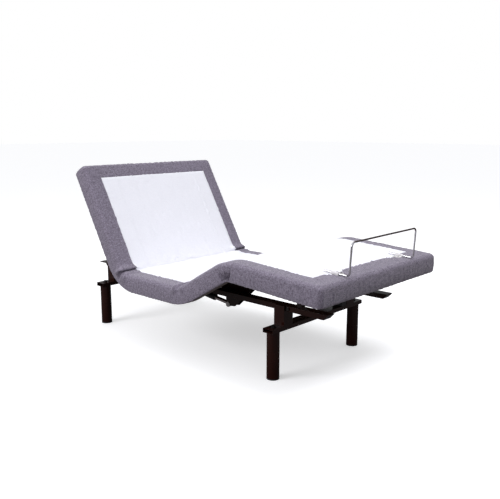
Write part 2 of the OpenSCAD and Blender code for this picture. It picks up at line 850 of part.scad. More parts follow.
// Saddle clips over the rod's feet, each with two screws into the board
module retainer_clips() {
    wall = 2.5;
    color("#c8c8cc") on_leg() both_sides() translate([retainer_w / 2, clip_y, 0]) difference() {
        union() {
            translate([-clip_in - clip_edge, -clip_len / 2, deck_hi])
                cube([clip_in + clip_edge + clip_lip, clip_len, clip_base_t]);
            translate([0, -clip_len / 2, rod_z]) rotate([-90, 0, 0])
                cylinder(d = retainer_d + 2 * wall, h = clip_len);
        }
        translate([0, -clip_len / 2 - 1, rod_z]) rotate([-90, 0, 0])
            cylinder(d = retainer_d + 0.1, h = clip_len + 2);
        translate([-clip_len / 2, -clip_len / 2 - 1, deck_hi - 10])
            cube([clip_len, clip_len + 2, 10]);
        for (dy = [-10, 10]) translate([-clip_in, dy, deck_hi - 1])
            cylinder(d = screw_d + 0.2, h = clip_base_t + 2);
    }
}
module retainer_screws() {
    color("silver") on_leg() both_sides() for (dy = [-10, 10])
        translate([retainer_w / 2 - clip_in, clip_y + dy, 0]) {
            translate([0, 0, board_lo + 1]) cylinder(d = screw_d, h = deck_hi - board_lo + 1);
            translate([0, 0, deck_hi + clip_base_t]) cylinder(d = 8, h = 2.2);
        }
}

// Support arms, joined by a tube: +Y from the pivot to the upper pin
arm_tie = arm_len * 0.62;
arm_tie_drop = 20;
module on_arms() {
    placed() translate([0, -arm_y, arm_z]) rotate([arm_turn - 180, 0, 0])
        mirror([0, 1, 0]) children();
}
arm_tube_r = 10;
module support_arms() {
    color("#17120f") on_arms() both_sides() {
        slab(moving_x + 0.5, plate_t - 0.5) difference() {
            union() {
                circle(r = arm_w / 2);
                translate([0, -arm_w / 2]) square([arm_len, arm_w]);
                translate([arm_len, 0]) circle(r = arm_w / 2);
                translate([arm_tie, -arm_tie_drop]) circle(r = arm_tube_r + 4);
            }
            circle(r = pin_r + run_clear);
        }
        translate([bar_mid - 3, arm_len, 0]) rotate([0, 90, 0])
            cylinder(r = pin_r, h = moving_x - bar_mid + 4);
    }
}
module support_arm_tube() {
    color("#17120f") on_arms() translate([0, arm_tie, -arm_tie_drop]) rotate([0, 90, 0])
        difference() {
            cylinder(r = arm_tube_r, h = 2 * moving_x + 1, center = true);
            cylinder(r = arm_tube_r - 2, h = 2 * moving_x + 3, center = true);
        }
}

// Drives

module along() {
    rotate([-90, 0, 0]) children();
}
module drive_motor(tube_end) {
    tube_r = drive_tube_d / 2;
    gear_x = 24;
    color("#121214") difference() {
        union() {
            rotate([0, 90, 0]) cylinder(r = lug_r, h = lug_w, center = true);
            translate([-lug_w / 2, 0, -lug_r]) cube([lug_w, gear_start + 1, 2 * lug_r]);
            translate([-motor_off - gear_x, gear_start, -gear_h / 2])
                cube([motor_off + 2 * gear_x, gear_len, gear_h]);
            translate([0, gear_start, 0]) along() cylinder(r = tube_r, h = tube_end - gear_start);
            translate([-motor_off, gear_start + gear_len - 1, 0]) along()
                cylinder(d = motor_d, h = motor_len);
        }
        rotate([0, 90, 0]) cylinder(r = pin_r + run_clear, h = lug_w + 2, center = true);
        translate([0, gear_start + gear_len - 10, 0]) along()
            cylinder(r = tube_r - drive_tube_wall, h = tube_end - gear_start - gear_len);
        translate([0, tube_end - 20, 0]) along() cylinder(r = rod_d / 2 + run_clear, h = 40);
    }
}
module drive_rod(tube_end, pin_at) {
    color("silver") difference() {
        union() {
            translate([0, tube_end - rod_grip, 0]) along()
                cylinder(d = rod_d, h = pin_at - pin_r - 1 - tube_end + rod_grip);
            translate([0, pin_at, 0]) rotate([0, 90, 0])
                cylinder(r = lug_r, h = lug_w, center = true);
        }
        translate([0, pin_at, 0]) rotate([0, 90, 0])
            cylinder(r = pin_r, h = lug_w + 2, center = true);
    }
}
module drive_rod_pin(pin_at) {
    washer_r = 13;
    x0 = inner_x - plate_air - bar_mid;
    x1 = moving_x + plate_t + plate_air - bar_mid;
    color("silver") translate([0, pin_at, 0]) {
        translate([x0, 0, 0]) rotate([0, 90, 0]) cylinder(r = pin_r, h = x1 - x0);
        for (x = [x0 - head_t, x1]) translate([x, 0, 0]) rotate([0, 90, 0])
            cylinder(r = washer_r, h = head_t);
    }
}
module foot_drive_motor() {
    on_foot_drive() drive_motor(foot_tube_end);
}
module foot_drive_rod() {
    on_foot_drive() drive_rod(foot_tube_end, norm(foot_ray));
}
module foot_drive_rod_pin() {
    on_foot_drive() drive_rod_pin(norm(foot_ray));
}
module head_drive_motor() {
    on_head_drive() drive_motor(head_tube_end);
}
module head_drive_rod() {
    on_head_drive() drive_rod(head_tube_end, norm(head_ray));
}
module head_drive_rod_pin() {
    on_head_drive() drive_rod_pin(norm(head_ray));
}

rail_left();
rail_right();
rail_end_caps();
cross_member_foot();
cross_member_head();
post_foot_left();
post_foot_right();
post_head_left();
post_head_right();
leg_foot_left();
leg_foot_right();
leg_head_left();
leg_head_right();
leg_glides();
frame_bolts();
seat_bearers();
seat_board();
seat_pad();
seat_skirts();
rail_brackets();
drive_cross_tubes();
drive_brackets();
pivot_pins();
headboard_plates();
control_box_base();
control_box_lid();
control_circuit_board();
power_inlet();
back_board();
back_pad();
back_skirts();
back_head_roll();
back_bars();
back_cross_bars();
back_plates();
thigh_board();
thigh_pad();
thigh_skirts();
thigh_bars();
thigh_cross_bars();
thigh_plates();
knee_pins();
leg_board();
leg_pad();
leg_skirts();
leg_foot_roll();
leg_bars();
leg_cross_bars();
leg_plates();
retainer_bar();
retainer_clips();
retainer_screws();
support_arms();
support_arm_tube();
foot_drive_motor();
foot_drive_rod();
foot_drive_rod_pin();
head_drive_motor();
head_drive_rod();
head_drive_rod_pin();
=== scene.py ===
import bisect
import json
import math

import bpy
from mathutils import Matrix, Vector


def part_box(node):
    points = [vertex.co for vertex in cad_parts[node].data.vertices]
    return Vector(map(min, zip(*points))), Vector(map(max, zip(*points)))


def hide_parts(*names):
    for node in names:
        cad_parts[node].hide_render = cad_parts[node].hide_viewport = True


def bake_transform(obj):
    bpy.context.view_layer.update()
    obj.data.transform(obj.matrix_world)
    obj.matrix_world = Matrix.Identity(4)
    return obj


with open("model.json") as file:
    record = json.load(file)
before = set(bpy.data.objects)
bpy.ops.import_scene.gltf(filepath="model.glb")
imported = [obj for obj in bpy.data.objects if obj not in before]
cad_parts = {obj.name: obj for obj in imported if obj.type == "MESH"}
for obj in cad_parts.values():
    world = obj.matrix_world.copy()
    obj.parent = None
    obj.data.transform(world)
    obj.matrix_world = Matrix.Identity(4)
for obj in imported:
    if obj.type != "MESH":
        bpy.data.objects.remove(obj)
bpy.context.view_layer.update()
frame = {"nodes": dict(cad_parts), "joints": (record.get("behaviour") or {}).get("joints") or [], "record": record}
print("frame loaded")

joints = {j["name"]: j for j in frame["joints"]}


def hinge(name):
    at = joints[name]["pos_m"]
    return Vector((at[1], at[2]))  # y and z: every deck hinge runs along X


def lift(name):
    return math.radians(-joints[name]["range_deg"][0])


backHinge = hinge("back_lift")
thighHinge = hinge("thigh_lift")
kneeHinge = hinge("knee_fold")
kneeTurn = lift("thigh_lift") * next(
    c["ratio"] for c in frame["record"]["behaviour"]["couplings"] if c["joint"] == "knee_fold")
legSlope = kneeTurn - lift("thigh_lift")
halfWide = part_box("seat_skirts")[1][0]
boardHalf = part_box("seat_board")[1][0]
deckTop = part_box("seat_pad")[1][2] - backHinge.y
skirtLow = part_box("seat_skirts")[0][2] - backHinge.y
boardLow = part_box("seat_board")[0][2] - backHinge.y
backLong = (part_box("back_skirts")[1][2] - backHinge.y - deckTop * math.cos(lift("back_lift"))) \
    / math.sin(lift("back_lift"))
seatLong = backHinge.x - thighHinge.x
thighLong = (kneeHinge - thighHinge).length
legLong = (kneeHinge.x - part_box("leg_skirts")[0][1] - deckTop * math.sin(legSlope)) / math.cos(legSlope)
wholeLong = backLong + seatLong + thighLong + legLong


def link(tree, a, b):
    tree.links.new(a, b)


def feed(tree, socket, value):
    if isinstance(value, bpy.types.NodeSocket):
        link(tree, value, socket)
    elif isinstance(value, bpy.types.Node):
        link(tree, value.outputs[0], socket)
    else:
        socket.default_value = value


def mathNode(tree, operation, a, b=None, clamp=False):
    node = tree.nodes.new("ShaderNodeMath")
    node.operation = operation
    node.use_clamp = clamp
    feed(tree, node.inputs[0], a)
    if b is not None:
        feed(tree, node.inputs[1], b)
    return node.outputs[0]


def mixColor(tree, factor, a, b, blend="MIX"):
    node = tree.nodes.new("ShaderNodeMix")
    node.data_type = "RGBA"
    node.blend_type = blend
    feed(tree, node.inputs[0], factor)
    feed(tree, node.inputs[6], a)
    feed(tree, node.inputs[7], b)
    return node.outputs[2]


def remap(tree, value, low, high, outLow=0.0, outHigh=1.0):
    node = tree.nodes.new("ShaderNodeMapRange")
    feed(tree, node.inputs[0], value)
    for slot, number in zip((1, 2, 3, 4), (low, high, outLow, outHigh)):
        feed(tree, node.inputs[slot], number)
    return node.outputs[0]


def noise(tree, vector, scale, detail=3.0, roughness=0.5):
    node = tree.nodes.new("ShaderNodeTexNoise")
    feed(tree, node.inputs["Vector"], vector)
    feed(tree, node.inputs["Scale"], scale)
    feed(tree, node.inputs["Detail"], detail)
    feed(tree, node.inputs["Roughness"], roughness)
    return node.outputs[0]


def stretch(tree, vector, scale, turn=0.0):
    node = tree.nodes.new("ShaderNodeMapping")
    feed(tree, node.inputs["Vector"], vector)
    node.inputs["Scale"].default_value = scale
    node.inputs["Rotation"].default_value = (0, 0, turn)
    return node.outputs[0]


socketKinds = {"value": "NodeSocketFloat", "color": "NodeSocketColor", "vector": "NodeSocketVector"}


def startGroup(name, inputs, outputs):
    tree = bpy.data.node_groups.new(name, "ShaderNodeTree")
    for key, (kind, value) in inputs.items():
        socket = tree.interface.new_socket(key, in_out="INPUT", socket_type=socketKinds[kind])
        socket.default_value = value
    for key, kind in outputs.items():
        tree.interface.new_socket(key, in_out="OUTPUT", socket_type=socketKinds[kind])
    return tree, tree.nodes.new("NodeGroupInput"), tree.nodes.new("NodeGroupOutput")


def place(tree, group, **values):
    node = tree.nodes.new("ShaderNodeGroup")
    node.node_tree = group
    for key, value in values.items():
        feed(tree, node.inputs[key], value)
    return node


def objectPlace(tree):
    return tree.nodes.new("ShaderNodeTexCoord").outputs["Object"]


def startMaterial(name, **constants):
    material = bpy.data.materials.new(name)
    material.use_nodes = True
    tree = material.node_tree
    shader = tree.nodes["Principled BSDF"]
    for key, value in constants.items():
        shader.inputs[key].default_value = value
    return material, tree, shader


def addBump(tree, shader, height, strength, distance, normal=None):
    bump = tree.nodes.new("ShaderNodeBump")
    bump.inputs["Strength"].default_value = strength
    bump.inputs["Distance"].default_value = distance
    link(tree, height, bump.inputs["Height"])
    if normal is not None:
        link(tree, normal, bump.inputs["Normal"])
    link(tree, bump.outputs[0], shader.inputs["Normal"])
    return bump



def makeEdgeGroup():
    # finds convex and concave edges by how far a rounded normal leaves the true one
    tree, inside, out = startGroup(
        "edgeFinder", {"Radius": ("value", 0.002), "Break": ("value", 60.0)},
        {"Mask": "value", "Normal": "vector"})
    bevel = tree.nodes.new("ShaderNodeBevel")
    bevel.samples = 6
    link(tree, inside.outputs["Radius"], bevel.inputs["Radius"])
    geometry = tree.nodes.new("ShaderNodeNewGeometry")
    dot = tree.nodes.new("ShaderNodeVectorMath")
    dot.operation = "DOT_PRODUCT"
    link(tree, bevel.outputs[0], dot.inputs[0])
    link(tree, geometry.outputs["Normal"], dot.inputs[1])
    bent = remap(tree, dot.outputs["Value"], 0.995, 0.82)
    spots = noise(tree, objectPlace(tree), inside.outputs["Break"], 5.0, 0.65)
    mask = mathNode(tree, "MULTIPLY", bent, remap(tree, spots, 0.42, 0.62), clamp=True)
    link(tree, mask, out.inputs["Mask"])
    link(tree, bevel.outputs[0], out.inputs["Normal"])
    return tree


def makeGrainGroup():
    # sprayed or moulded skin: fine height, and broad patches for roughness
    tree, inside, out = startGroup(
        "skinGrain", {"Fine": ("value", 900.0), "Broad": ("value", 9.0)},
        {"Height": "value", "Patch": "value"})
    where = objectPlace(tree)
    link(tree, noise(tree, where, inside.outputs["Fine"], 2.0, 0.6), out.inputs["Height"])
    link(tree, noise(tree, where, inside.outputs["Broad"], 4.0, 0.6), out.inputs["Patch"])
    return tree


def makeDustGroup():
    # settles on what faces up, in uneven patches
    tree, inside, out = startGroup(
        "dustFall", {"Amount": ("value", 0.2), "Scale": ("value", 25.0)}, {"Mask": "value"})
    split = tree.nodes.new("ShaderNodeSeparateXYZ")
    link(tree, tree.nodes.new("ShaderNodeNewGeometry").outputs["Normal"], split.inputs[0])
    upward = remap(tree, split.outputs["Z"], 0.3, 1.0)
    patches = remap(tree, noise(tree, objectPlace(tree), inside.outputs["Scale"], 6.0, 0.7), 0.4, 0.75)
    mask = mathNode(tree, "MULTIPLY", upward, patches)
    link(tree, mathNode(tree, "MULTIPLY", mask, inside.outputs["Amount"], clamp=True), out.inputs["Mask"])
    return tree


def makeWeaveGroup():
    # plain weave on UVs in metres: rounded threads over and under, with heathered yarn
    tree, inside, out = startGroup(
        "heatherWeave",
        {"Pitch": ("value", 0.0016), "Light": ("color", (0.5, 0.5, 0.5, 1)),
         "Dark": ("color", (0.2, 0.2, 0.2, 1)), "Heather": ("value", 0.5)},
        {"Color": "color", "Height": "value"})
    cloth = tree.nodes.new("ShaderNodeTexCoord").outputs["UV"]
    split = tree.nodes.new("ShaderNodeSeparateXYZ")
    link(tree, cloth, split.inputs[0])
    turns = mathNode(tree, "DIVIDE", math.pi, inside.outputs["Pitch"])
    across = mathNode(tree, "SINE", mathNode(tree, "MULTIPLY", split.outputs["X"], turns))
    along = mathNode(tree, "SINE", mathNode(tree, "MULTIPLY", split.outputs["Y"], turns))
    warp = mathNode(tree, "ABSOLUTE", across)
    weft = mathNode(tree, "ABSOLUTE", along)
    over = mathNode(tree, "GREATER_THAN", mathNode(tree, "MULTIPLY", across, along), 0.0)
    height = tree.nodes.new("ShaderNodeMix")
    link(tree, over, height.inputs[0])
    link(tree, warp, height.inputs[2])
    link(tree, weft, height.inputs[3])
    warpYarn = noise(tree, stretch(tree, cloth, (620, 26, 1)), 1.0, 3.0, 0.7)
    weftYarn = noise(tree, stretch(tree, cloth, (24, 560, 1)), 1.0, 3.0, 0.7)
    slubs = mathNode(tree, "ADD", warpYarn, weftYarn)
    flecks = noise(tree, cloth, 210.0, 3.0, 0.8)
    clumps = noise(tree, cloth, 95.0, 2.0, 0.6)
    mixed = mathNode(tree, "ADD", mathNode(tree, "MULTIPLY", slubs, 0.45),
                     mathNode(tree, "MULTIPLY", flecks, 0.7))
    mixed = mathNode(tree, "ADD", mixed, mathNode(tree, "MULTIPLY", clumps, 0.4))
    spread = remap(tree, mixed, 0.78, 1.22)
    centred = mathNode(tree, "SUBTRACT", spread, 0.5)
    spread = mathNode(tree, "MULTIPLY", centred, inside.outputs["Heather"])
    shade = mathNode(tree, "ADD", spread, 0.5, clamp=True)
    link(tree, mixColor(tree, shade, inside.outputs["Dark"], inside.outputs["Light"]), out.inputs["Color"])
    total = mathNode(tree, "ADD", height.outputs[0], mathNode(tree, "MULTIPLY", flecks, 0.5))
    link(tree, total, out.inputs["Height"])
    return tree


edgeFinder = makeEdgeGroup()
skinGrain = makeGrainGroup()
dustFall = makeDustGroup()
heatherWeave = makeWeaveGroup()

blackPaint = {"color": (0.0165, 0.0030, 0.0014, 1), "bare": (0.20, 0.19, 0.18, 1),
              "dust": (0.10, 0.09, 0.085, 1), "roughLow": 0.20, "roughHigh": 0.32,
              "coat": 0.14, "wear": 0.04, "edge": 0.0016}


def paintedMetal(name, look):
    material, tree, shader = startMaterial(
        name, **{"Coat Roughness": 0.12, "Specular IOR Level": 0.19})
    edge = place(tree, edgeFinder, Radius=look["edge"], Break=55.0)
    grain = place(tree, skinGrain, Fine=700.0, Broad=7.0)
    dust = place(tree, dustFall, Amount=0.06, Scale=22.0)
    worn = mathNode(tree, "MULTIPLY", edge.outputs["Mask"], look["wear"])
    tint = remap(tree, grain.outputs["Patch"], 0.3, 0.7, 0.8, 1.25)
    base = mixColor(tree, 1.0, look["color"], tint, "MULTIPLY")
    base = mixColor(tree, worn, base, look["bare"])
    base = mixColor(tree, dust.outputs["Mask"], base, look["dust"])
    link(tree, base, shader.inputs["Base Color"])
    rough = remap(tree, grain.outputs["Patch"], 0.3, 0.7, look["roughLow"], look["roughHigh"])
    rough = mathNode(tree, "ADD", rough, mathNode(tree, "MULTIPLY", dust.outputs["Mask"], 0.5), clamp=True)
    link(tree, rough, shader.inputs["Roughness"])
    dulled = mathNode(tree, "MULTIPLY", dust.outputs["Mask"], 0.8)
    coat = mathNode(tree, "SUBTRACT", look["coat"], dulled, clamp=True)
    link(tree, coat, shader.inputs["Coat Weight"])
    link(tree, mathNode(tree, "MULTIPLY", worn, 0.9), shader.inputs["Metallic"])
    addBump(tree, shader, grain.outputs["Height"], 0.12, 0.0004, edge.outputs["Normal"])
    return material


barePlate = {
    "steel": {"color": (0.50, 0.49, 0.48, 1), "shade": (0.34, 0.33, 0.33, 1), "rough": (0.24, 0.42)},
    "blackZinc": {"color": (0.055, 0.048, 0.046, 1), "shade": (0.035, 0.030, 0.029, 1),
                  "rough": (0.30, 0.5)},
    "rodSteel": {"color": (0.66, 0.60, 0.60, 1), "shade": (0.52, 0.45, 0.45, 1), "rough": (0.18, 0.3)},
    # chromePlate carries a painted reflection: a dark outline colour painted in at grazing angles
    "chromePlate": {"color": (0.84, 0.84, 0.87, 1), "shade": (0.78, 0.78, 0.82, 1),
                    "rough": (0.06, 0.14), "paintedRimReflection": (0.115, 0.070, 0.060, 1), "paintedRimRange": (0.10, 0.52)},
}


def paintedReflectionMetal(name, look):
    # plated rod: a bright core, and a painted reflection: a dark outline painted into the base colour at grazing
    # angles, where the rod would mirror the room's far walls
    material = bareMetal(name, look)
    tree = material.node_tree
    shader = next(n for n in tree.nodes if n.type == "BSDF_PRINCIPLED")
    core = shader.inputs["Base Color"].links[0].from_socket
    facing = tree.nodes.new("ShaderNodeLayerWeight").outputs["Facing"]
    # painted reflection: the base colour darkens towards grazing angles
    paintedRimReflection = remap(tree, facing, *look["paintedRimRange"])
    link(tree, mixColor(tree, paintedRimReflection, core, look["paintedRimReflection"]), shader.inputs["Base Color"])
    return material


def bareMetal(name, look):
    material, tree, shader = startMaterial(name, **{"Metallic": 1.0})
    edge = place(tree, edgeFinder, Radius=0.0008, Break=90.0)
    grain = place(tree, skinGrain, Fine=1600.0, Broad=24.0)
    link(tree, mixColor(tree, remap(tree, grain.outputs["Patch"], 0.35, 0.65), look["color"], look["shade"]),
         shader.inputs["Base Color"])
    low, high = look["rough"]
    link(tree, remap(tree, grain.outputs["Patch"], 0.35, 0.7, low, high), shader.inputs["Roughness"])
    addBump(tree, shader, grain.outputs["Height"], 0.05, 0.0002, edge.outputs["Normal"])
    return material


def mouldedPlastic(name, color, rough, fine=1400.0):
    material, tree, shader = startMaterial(name, **{"Specular IOR Level": 0.45})
    edge = place(tree, edgeFinder, Radius=0.0015, Break=70.0)
    grain = place(tree, skinGrain, Fine=fine, Broad=14.0)
    dust = place(tree, dustFall, Amount=0.25, Scale=30.0)
    pale = tuple(min(1, c * 2.2 + 0.02) for c in color[:3]) + (1,)
    base = mixColor(tree, mathNode(tree, "MULTIPLY", edge.outputs["Mask"], 0.35), color, pale)
    base = mixColor(tree, dust.outputs["Mask"], base, (0.16, 0.15, 0.14, 1))
    link(tree, base, shader.inputs["Base Color"])
    worn = remap(tree, grain.outputs["Patch"], 0.3, 0.7, rough - 0.06, rough + 0.08)
    link(tree, worn, shader.inputs["Roughness"])
    addBump(tree, shader, grain.outputs["Height"], 0.25, 0.0003, edge.outputs["Normal"])
    return material


plywoodLook = {"pale": (0.21, 0.125, 0.075, 1), "dark": (0.10, 0.055, 0.032, 1)}


def plywood(name, look):
    material, tree, shader = startMaterial(name, **{"Specular IOR Level": 0.3})
    where = objectPlace(tree)
    grain = noise(tree, stretch(tree, where, (4, 60, 60)), 1.0, 6.0, 0.65)
    pores = noise(tree, stretch(tree, where, (30, 700, 700)), 1.0, 2.0, 0.6)
    figure = mathNode(tree, "ADD", grain, mathNode(tree, "MULTIPLY", pores, 0.35))
    board = mixColor(tree, remap(tree, figure, 0.5, 0.85), look["pale"], look["dark"])
    link(tree, board, shader.inputs["Base Color"])
    link(tree, remap(tree, grain, 0.3, 0.7, 0.55, 0.8), shader.inputs["Roughness"])
    addBump(tree, shader, figure, 0.2, 0.0004)
    return material


boardGreen = {"mask": (0.012, 0.09, 0.03, 1), "track": (0.03, 0.17, 0.06, 1)}


def circuitBoard(name, look):
    material, tree, shader = startMaterial(name, **{"Coat Roughness": 0.2})
    where = objectPlace(tree)
    bricks = tree.nodes.new("ShaderNodeTexBrick")
    link(tree, stretch(tree, where, (0, 1, 1)), bricks.inputs["Vector"])
    bricks.inputs["Scale"].default_value = 160.0
    bricks.inputs["Mortar Size"].default_value = 0.03
    tracks = mixColor(tree, bricks.outputs["Fac"], look["mask"], look["track"])
    link(tree, tracks, shader.inputs["Base Color"])
    link(tree, remap(tree, noise(tree, where, 60.0), 0.3, 0.7, 0.3, 0.5), shader.inputs["Roughness"])
    shader.inputs["Coat Weight"].default_value = 0.3
    return material


greyCloth = {"light": (0.315, 0.278, 0.352, 1), "dark": (0.079, 0.066, 0.094, 1),
             "pitch": 0.0019, "heather": 1.3, "bump": 0.5}
whiteCloth = {"light": (0.90, 0.90, 0.95, 1), "dark": (0.80, 0.80, 0.86, 1),
              "pitch": 0.0026, "heather": 0.7, "bump": 0.35}
underCloth = {"light": (0.17, 0.105, 0.085, 1), "dark": (0.075, 0.045, 0.038, 1),
              "pitch": 0.0012, "heather": 0.8, "bump": 0.3}


def wovenCloth(name, look):
    material, tree, shader = startMaterial(
        name, **{"Sheen Weight": 0.25, "Sheen Roughness": 0.5, "Specular IOR Level": 0.2})
    weave = place(tree, heatherWeave, Pitch=look["pitch"], Light=look["light"], Dark=look["dark"],
                  Heather=look["heather"])
    link(tree, weave.outputs["Color"], shader.inputs["Base Color"])
    link(tree, remap(tree, weave.outputs["Height"], 0.2, 1.4, 0.95, 0.8), shader.inputs["Roughness"])
    addBump(tree, shader, weave.outputs["Height"], look["bump"], 0.0005)
    return material


materials = {
    "black_paint": paintedMetal("blackPaint", blackPaint),
    "black_plastic": mouldedPlastic("blackPlastic", (0.018, 0.018, 0.020, 1), 0.5),
    "white_plastic": mouldedPlastic("whitePlastic", (0.70, 0.68, 0.69, 1), 0.45),
    "drive_housing": mouldedPlastic("driveHousing", (0.014, 0.014, 0.016, 1), 0.38, 900.0),
    "rod_steel": bareMetal("rodSteel", barePlate["rodSteel"]),
    "zinc": bareMetal("zincPlate", barePlate["steel"]),
    "black_zinc": bareMetal("blackZinc", barePlate["blackZinc"]),
    "chrome": paintedReflectionMetal("chromePlate", barePlate["chromePlate"]),
    "plywood": plywood("plywood", plywoodLook),
    "circuit_board": circuitBoard("circuitBoard", boardGreen),
    "cover_fabric": wovenCloth("greyCloth", greyCloth),
    "panel_fabric": wovenCloth("whiteCloth", whiteCloth),
}
dustCover = wovenCloth("dustCover", underCloth)

for part in frame["record"]["subparts"]:
    mesh = frame["nodes"][part["node"]].data
    mesh.materials.clear()
    mesh.materials.append(materials[part["material_slot"]])
print("materials placed on the frame's nodes")

# Worked out flat, as (across, station from the head end, height over the hinge line),
# then bent round the three hinges.

cover = {
    "edgeRound": 0.024, "bottomRound": 0.007, "sideBulge": 0.0025, "crown": 0.0035,
    "panelHalf": 0.386, "panelHead": 0.085, "panelFoot": 0.115, "seamDip": 0.0022, "seamHalf": 0.0035,
    "alongStep": 0.011, "fineStep": 0.0026, "fineReach": 0.06, "acrossStep": 0.016,
    "patchAt": 0.241, "patchSteps": [(0.066, 0.007), (0.056, 0.015), (0.044, 0.022)],
    "creaseDip": 0.004, "creaseHalf": 0.009, "innerWall": 0.0012,
    "radii": {"back": (0.24, 0.030), "thigh": (0.355, 0.050), "knee": (0.040, 0.275)},
}
bends = [  # station of the hinge, its turn, 1 where the top folds in, radii below and above
    (backLong, lift("back_lift"), 1, cover["radii"]["back"]),
    (backLong + seatLong, lift("thigh_lift"), 1, cover["radii"]["thigh"]),
    (backLong + seatLong + thighLong, kneeTurn, -1, cover["radii"]["knee"]),
]
hingeStations = [b[0] for b in bends]
# direction of travel, from the head end to the foot, as an angle in the y-z plane
startAngle = math.pi + lift("back_lift")


def bendRadius(radii, height):
    share = (height - skirtLow) / (deckTop - skirtLow)
    low, high = radii
    return max(0.004, low + (high - low) * share)


def bent(station, height):
    # the point (y, z) of the bent deck, walking from the head end
    angle = startAngle
    along = Vector((math.cos(angle), math.sin(angle)))
    up = Vector((-along.y, along.x)) * -1
    at = backHinge - along * backLong + up * height
    walked = 0.0
    for place0, turn, sign, radii in bends:
        radius = bendRadius(radii, height)
        half = math.tan(turn / 2)
        reach = radius * half
        first = place0 - sign * height * half - reach
        last = place0 + sign * height * half + reach
        if station <= first:
            return at + along * (station - walked)
        at = at + along * (first - walked)
        share = min(1.0, (station - first) / (last - first))
        swing = -sign * turn * share
        side = up * sign
        centre = at + side * radius
        c, s = math.cos(swing), math.sin(swing)
        arm = at - centre
        at = centre + Vector((arm.x * c - arm.y * s, arm.x * s + arm.y * c))
        angle += swing
        along = Vector((math.cos(angle), math.sin(angle)))
        up = Vector((along.y, -along.x))
        if share < 1.0:
            return at
        walked = last
    return at + along * (station - walked)


def steps(low, high, pitch):
    count = max(1, round((high - low) / pitch))
    return [low + (high - low) * i / count for i in range(count + 1)]


def withLines(values, extra, gap):
    kept = [v for v in values if all(abs(v - e) > gap for e in extra)]
    return sorted(kept + list(extra))


def inPatch(x, station):
    # panel cloth that runs on under the retainer's feet, narrower step by step
    past = station - (wholeLong - cover["panelFoot"])
    off = abs(abs(x) - cover["patchAt"])
    low = 0.0
    for half, reach in cover["patchSteps"]:  # half width, and how far past the panel it runs
        if low <= past < reach:
            return off < half
        low = reach
    return False


def alongLines():
    # closer together near the hinges, with lines on both sides of each seam
    low, high = cover["edgeRound"], wholeLong - cover["edgeRound"]
    lines, at = [low], low
    while at < high:
        near = min(abs(at - h) for h in hingeStations)
        share = min(1.0, max(0.0, (near - 0.5 * cover["fineReach"]) / cover["fineReach"]))
        at += cover["fineStep"] + (cover["alongStep"] - cover["fineStep"]) * share
        lines.append(min(at, high))
    if lines[-1] - lines[-2] < 0.002:
        lines.pop(-2)
    seams = []
    for at in (cover["panelHead"], wholeLong - cover["panelFoot"]):
        seams += [at - cover["seamHalf"], at, at + cover["seamHalf"]]
    seams += [wholeLong - cover["panelFoot"] + reach for half, reach in cover["patchSteps"]]
    splits = [backLong + seatLong / 2, backLong + seatLong + thighLong / 2]
    return withLines(lines, seams + splits, 0.0025), splits


def acrossLines():
    edge = halfWide - cover["edgeRound"]
    half = steps(0, edge, cover["acrossStep"])
    seams = [cover["panelHalf"] + d for d in (-cover["seamHalf"], 0, cover["seamHalf"])]
    for width, reach in cover["patchSteps"]:
        seams += [cover["patchAt"] - width, cover["patchAt"] + width]
    half = withLines(half, seams, 0.004)
    return [-v for v in reversed(half[1:])] + half


def edgeProfile():
    # (how far out from the top's straight part, height, what it shows) down the side and in again
    r, b = cover["edgeRound"], cover["bottomRound"]
    points = []
    for i in range(1, 8):
        a = math.radians(90 * i / 7)
        points.append((r * math.sin(a), deckTop - cover["crown"] * 0.6 - r * (1 - math.cos(a)), "cover"))
    top, low = points[-1][1], skirtLow + b
    for i in range(1, 13):
        t = i / 12
        points.append((r + cover["sideBulge"] * math.sin(math.pi * t), top + (low - top) * t, "cover"))
    for i in range(1, 4):
        a = math.radians(90 * i / 3)
        points.append((r - b * (1 - math.cos(a)), low - b * math.sin(a), "cover"))
    inner = boardHalf + cover["innerWall"] - (halfWide - r)
    for i in range(1, 4):
        t = i / 3
        points.append((r - b + (inner + 0.003 - r + b) * t, skirtLow, "under"))
    points.append((inner, skirtLow + 0.003, "under"))
    for i in range(1, 5):
        points.append((inner, skirtLow + 0.003 + (boardLow - 0.001 - skirtLow - 0.003) * i / 4, "under"))
    return points


def topHeight(x, station):
    # crowned foam that falls away towards the head and foot ends, with a dip along the panel's seam
    half = halfWide - cover["edgeRound"]
    ends = min(station, wholeLong - station) - cover["edgeRound"]
    fall = min(1.0, ends / 0.05)
    height = deckTop - cover["crown"] * 0.6 * max((abs(x) / half) ** 4, (1 - max(0.0, fall)) ** 2)
    offSide = abs(abs(x) - cover["panelHalf"])
    offHead = abs(station - cover["panelHead"])
    offFoot = abs(station - (wholeLong - cover["panelFoot"]))
    inLength = cover["panelHead"] - 0.001 <= station <= wholeLong - cover["panelFoot"] + 0.001
    inWidth = abs(x) <= cover["panelHalf"] + 0.001
    dip = 0.0
    if inLength:
        dip = max(dip, 1 - offSide / cover["seamHalf"])
    if inWidth:
        dip = max(dip, 1 - offHead / cover["seamHalf"], 1 - offFoot / cover["seamHalf"])
    return height - cover["seamDip"] * max(0.0, dip)


def creaseDip(station, height):
    # how far the cloth tucks in where the deck folds towards it
    total = 0.0
    for place0, turn, sign, radii in bends:
        level = height if sign > 0 else skirtLow + deckTop - height
        share = min(1.0, max(0.0, (level - skirtLow) / (deckTop - skirtLow)))
        off = (station - place0) / cover["creaseHalf"]
        total += math.exp(-off * off) * share ** 2 * cover["creaseDip"]
    return total


